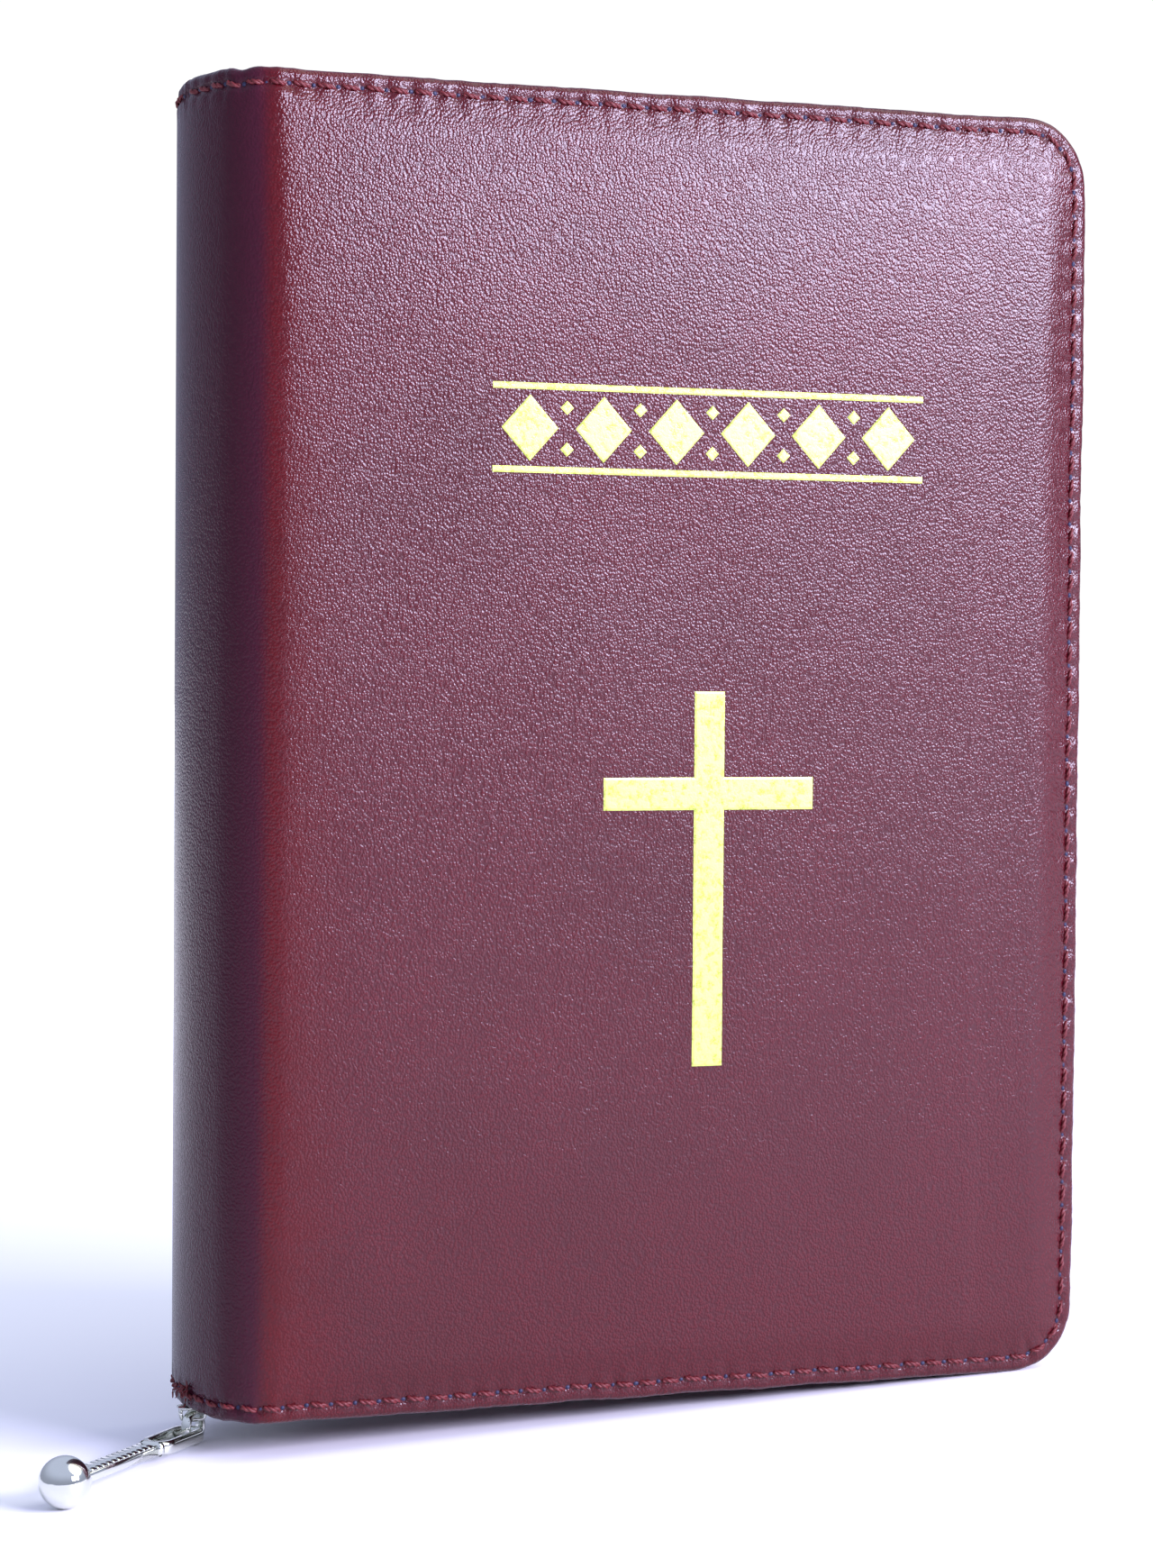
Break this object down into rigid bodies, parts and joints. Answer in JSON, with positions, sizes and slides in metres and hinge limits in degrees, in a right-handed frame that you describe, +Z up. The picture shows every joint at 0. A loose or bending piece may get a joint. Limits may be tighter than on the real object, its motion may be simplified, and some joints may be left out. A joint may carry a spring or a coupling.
{
  "type": "zip-around bible",
  "caption": "Leather-bound bible with a rounded spine, gold foil cross, stitched covers and a zip that runs round the three open edges, with a ball-ended metal pull.",
  "frame": {"origin": "midway between the two covers and midway from spine to fore-edge, level with the lower edges of the covers", "axes": "+Z up the spine, +X from the spine to the fore-edge, -Y out of the front cover, +Y out of the back cover"},
  "size_m": [0.1589, 0.0478, 0.1917],
  "materials": {
    "cover_leather": "fine grain, semi-gloss",
    "spine_leather": "fine grain, semi-gloss",
    "padding": "soft foam sheet",
    "board": "matt grey board",
    "lining": "matt cloth",
    "endpaper": "matt",
    "thread": "twisted thread",
    "gold_foil": "pressed foil, satin",
    "zip_tape": "herringbone weave",
    "zip_teeth": "moulded",
    "zip_metal": "satin",
    "pages": "matt cut edges",
    "backing": "glued mull",
    "headband": "woven cord",
    "polished_metal": "polished nickel"
  },
  "bodies": {
    "front_cover": {"front_leather": "cover_leather", "front_padding": "padding", "front_board": "board", "front_lining": "lining", "front_pastedown": "endpaper", "front_stitching": "thread", "foil_cross": "gold_foil", "foil_ornament": "gold_foil", "zip_tape_front": "zip_tape", "zip_teeth_front": "zip_teeth", "zip_stop_front": "zip_metal", "front_pages": "pages", "front_block_backing": "backing", "front_headbands": "headband"},
    "spine": {"spine_leather": "spine_leather", "spine_stiffener": "board", "spine_lining": "lining", "spine_stitching": "thread"},
    "back_cover": {"back_leather": "cover_leather", "back_padding": "padding", "back_board": "board", "back_lining": "lining", "back_pastedown": "endpaper", "back_stitching": "thread", "zip_tape_back": "zip_tape", "zip_teeth_back": "zip_teeth", "zip_stop_back": "zip_metal"},
    "back_pages": {"back_pages": "pages", "back_block_backing": "backing", "back_headbands": "headband"},
    "zip_slider": {"slider_body": "polished_metal", "slider_bail": "polished_metal"},
    "pull_ring": {"pull_ring": "polished_metal"},
    "pull": {"pull_tab": "polished_metal"}
  },
  "joints": [
    {"name": "page_turn", "type": "hinge", "parent": "front_cover", "child": "back_pages", "pos_m": [-0.06045, 0, 0], "axis": [0, 0, 1], "range_deg": [0, 180]},
    {"name": "spine_hinge", "type": "hinge", "parent": "front_cover", "child": "spine", "pos_m": [-0.0633, -0.0153, 0], "axis": [0, 0, 1], "range_deg": [0, 90]},
    {"name": "back_cover_hinge", "type": "hinge", "parent": "spine", "child": "back_cover", "pos_m": [-0.0633, 0.0153, 0], "axis": [0, 0, 1], "range_deg": [0, 90]},
    {"name": "zip_slide", "type": "slide", "parent": "front_cover", "child": "zip_slider", "axis": [1, 0, 0], "range_m": [0, 0.105]},
    {"name": "ring_swing", "type": "hinge", "parent": "zip_slider", "child": "pull_ring", "pos_m": [-0.0644, 0, -0.0021], "axis": [1, 0, 0], "range_deg": [0, 36]},
    {"name": "pull_tilt", "type": "hinge", "parent": "pull_ring", "child": "pull", "pos_m": [-0.0644, 0, -0.0039], "axis": [0.745, -0.667, 0], "range_deg": [-3, 30]}
  ],
  "couplings": [
    {"joint": "spine_hinge", "follows": "page_turn", "ratio": 0.5},
    {"joint": "back_cover_hinge", "follows": "page_turn", "ratio": 0.5}
  ]
}
